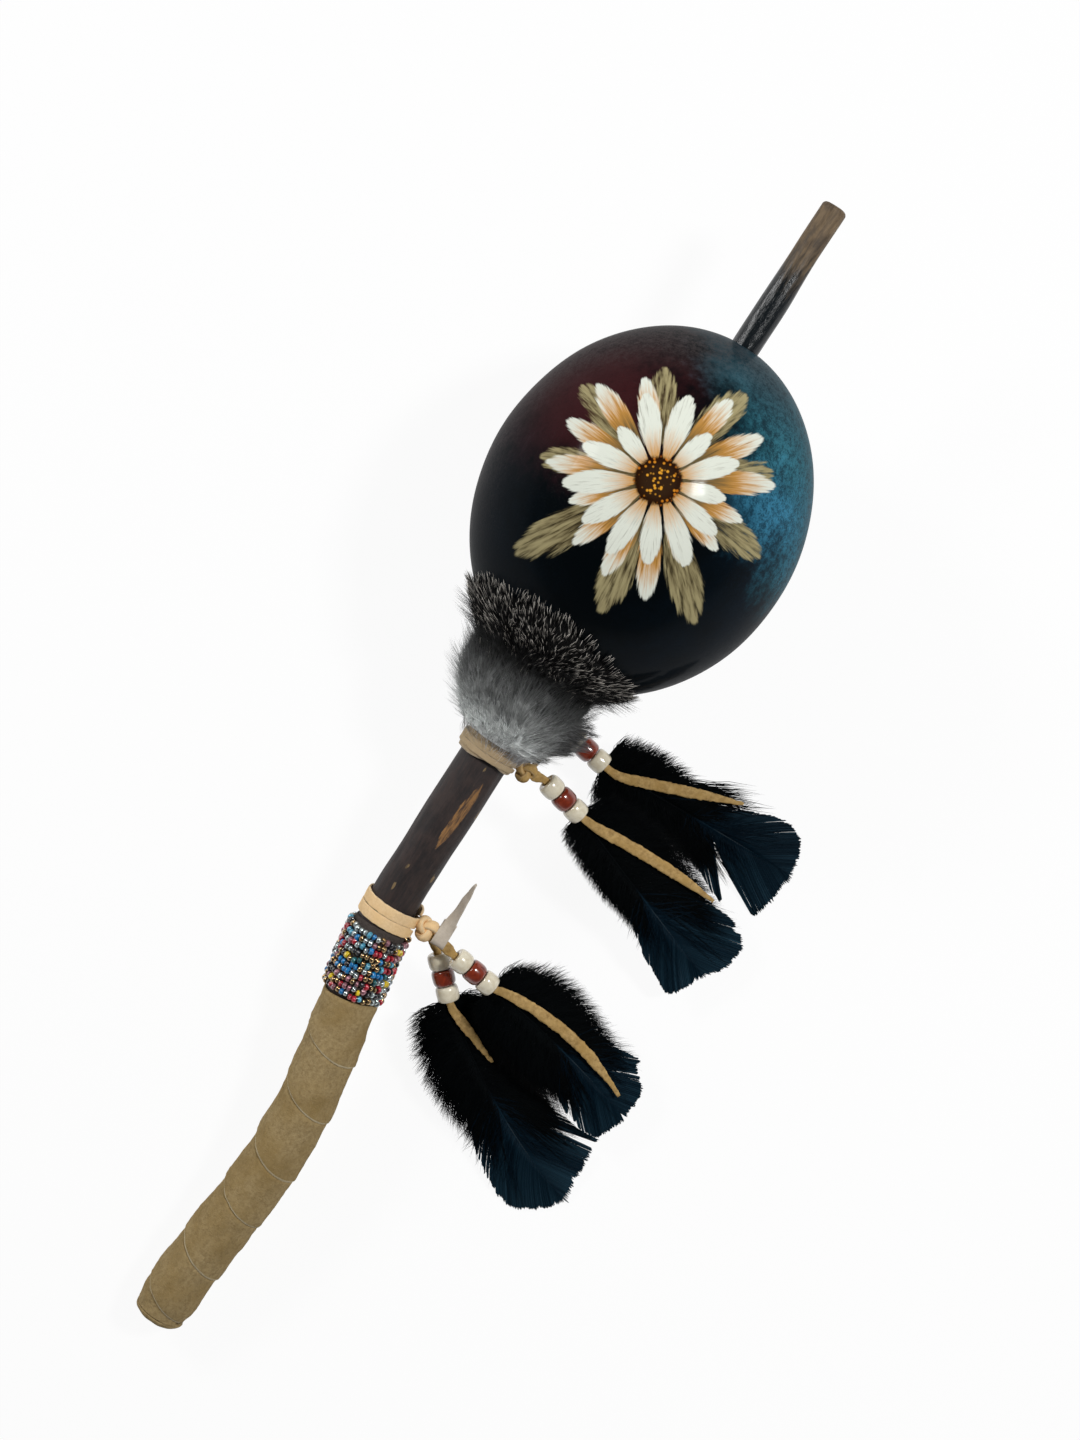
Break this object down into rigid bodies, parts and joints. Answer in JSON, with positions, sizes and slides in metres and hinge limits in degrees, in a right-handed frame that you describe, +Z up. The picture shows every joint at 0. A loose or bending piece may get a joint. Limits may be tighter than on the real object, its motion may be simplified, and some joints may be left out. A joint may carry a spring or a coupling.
{
  "type": "gourd rattle",
  "caption": "Hand rattle: a hollow painted gourd with loose pellets on a crooked stick, with fur collar, beaded band, suede grip and laced feather drops.",
  "frame": {"origin": "on the table, under the centre of the box of the rattle without its laced drops", "axes": "+X along the stick towards its thin tip, +Y away from the drops, +Z up from the table that the rattle lies on"},
  "size_m": [0.4916, 0.1886, 0.1209],
  "materials": {
    "gourd_skin": "painted dark and varnished to a gloss",
    "putty": "dark filler, matt",
    "cork": "raw cork",
    "seed": "dry seed, satin",
    "bark": "dark bark, rubbed to bare wood in places",
    "fur": "grey and brown rabbit-like fur on hide",
    "lace": "golden tan buckskin, napped",
    "backing": "dark hide",
    "seed_beads": "glossy mixed colours",
    "suede": "olive tan suede",
    "cream_bead": "pearl cream, glossy",
    "red_bead": "red brown, glossy",
    "feather": "black with a faint blue sheen",
    "tag": "bare, matt"
  },
  "bodies": {
    "rattle": {"gourd_shell": "gourd_skin", "top_seal": "putty", "neck_plug": "cork", "handle_stick": "bark", "fur_collar": "fur", "collar_tie": "lace", "collar_knot": "lace", "grip_tie": "lace", "grip_knot": "lace", "bead_backing": "backing", "bead_strand": "seed_beads", "grip_wrap": "suede", "grip_end_cap": "suede"},
    "collar_low_neck": {"collar_low_lace_neck": "lace"},
    "collar_low_drop": {"collar_low_lace_tail": "lace", "collar_low_bead_1": "cream_bead", "collar_low_bead_2": "red_bead", "collar_low_bead_3": "cream_bead", "collar_low_feather": "feather"},
    "collar_high_neck": {"collar_high_lace_neck": "lace"},
    "collar_high_drop": {"collar_high_lace_tail": "lace", "collar_high_bead_1": "cream_bead", "collar_high_bead_2": "red_bead", "collar_high_bead_3": "cream_bead", "collar_high_feather": "feather"},
    "grip_low_neck": {"grip_low_lace_neck": "lace"},
    "grip_low_drop": {"grip_low_lace_tail": "lace", "grip_low_bead_1": "cream_bead", "grip_low_bead_2": "red_bead", "grip_low_bead_3": "cream_bead", "grip_low_feather": "feather"},
    "grip_high_neck": {"grip_high_lace_neck": "lace", "tag_strip": "tag"},
    "grip_high_drop": {"grip_high_lace_tail": "lace", "grip_high_bead_1": "cream_bead", "grip_high_bead_2": "red_bead", "grip_high_bead_3": "cream_bead", "grip_high_feather": "feather"},
    "pellet_1": {"pellet_1": "seed"},
    "pellet_2": {"pellet_2": "seed"},
    "pellet_3": {"pellet_3": "seed"},
    "pellet_4": {"pellet_4": "seed"},
    "pellet_5": {"pellet_5": "seed"},
    "pellet_6": {"pellet_6": "seed"}
  },
  "joints": [
    {"name": "collar_low_swing", "type": "hinge", "parent": "rattle", "child": "collar_low_neck", "pos_m": [0.01239, -0.0157, 0.0466], "axis": [0, 0, 1], "range_deg": [-20, 8]},
    {"name": "collar_low_lift", "type": "hinge", "parent": "collar_low_neck", "child": "collar_low_drop", "pos_m": [0.03339, -0.0209, 0.019], "axis": [-0.9848, 0.1736, 0], "range_deg": [0, 50]},
    {"name": "collar_high_swing", "type": "hinge", "parent": "rattle", "child": "collar_high_neck", "pos_m": [0.01239, -0.0157, 0.0466], "axis": [0, 0, 1], "range_deg": [-9, 15]},
    {"name": "collar_high_lift", "type": "hinge", "parent": "collar_high_neck", "child": "collar_high_drop", "pos_m": [0.01339, -0.0236, 0.044], "axis": [-0.9763, 0.2164, 0], "range_deg": [0, 60]},
    {"name": "grip_low_swing", "type": "hinge", "parent": "rattle", "child": "grip_low_neck", "pos_m": [-0.05826, -0.01641, 0.03692], "axis": [0, 0, 1], "range_deg": [-20, 12]},
    {"name": "grip_low_lift", "type": "hinge", "parent": "grip_low_neck", "child": "grip_low_drop", "pos_m": [-0.06426, -0.02441, 0.02572], "axis": [-0.7193, 0.6947, 0], "range_deg": [0, 50]},
    {"name": "grip_high_swing", "type": "hinge", "parent": "rattle", "child": "grip_high_neck", "pos_m": [-0.05826, -0.01641, 0.03692], "axis": [0, 0, 1], "range_deg": [-20, 9]},
    {"name": "grip_high_lift", "type": "hinge", "parent": "grip_high_neck", "child": "grip_high_drop", "pos_m": [-0.06116, -0.03041, 0.03612], "axis": [-0.989, 0.1478, 0], "range_deg": [0, 60]},
    {"name": "pellet_1_roll", "type": "hinge", "parent": "rattle", "child": "pellet_1", "pos_m": [0.11543, 0, 0.06073], "axis": [0.9907, 0, 0.1358], "continuous": true},
    {"name": "pellet_2_roll", "type": "hinge", "parent": "rattle", "child": "pellet_2", "pos_m": [0.11543, 0, 0.06073], "axis": [0.9907, 0, 0.1358], "continuous": true},
    {"name": "pellet_3_roll", "type": "hinge", "parent": "rattle", "child": "pellet_3", "pos_m": [0.11543, 0, 0.06073], "axis": [0.9907, 0, 0.1358], "continuous": true},
    {"name": "pellet_4_roll", "type": "hinge", "parent": "rattle", "child": "pellet_4", "pos_m": [0.11543, 0, 0.06073], "axis": [0.9907, 0, 0.1358], "continuous": true},
    {"name": "pellet_5_roll", "type": "hinge", "parent": "rattle", "child": "pellet_5", "pos_m": [0.11543, 0, 0.06073], "axis": [0.9907, 0, 0.1358], "continuous": true},
    {"name": "pellet_6_roll", "type": "hinge", "parent": "rattle", "child": "pellet_6", "pos_m": [0.11543, 0, 0.06073], "axis": [0.9907, 0, 0.1358], "continuous": true}
  ]
}
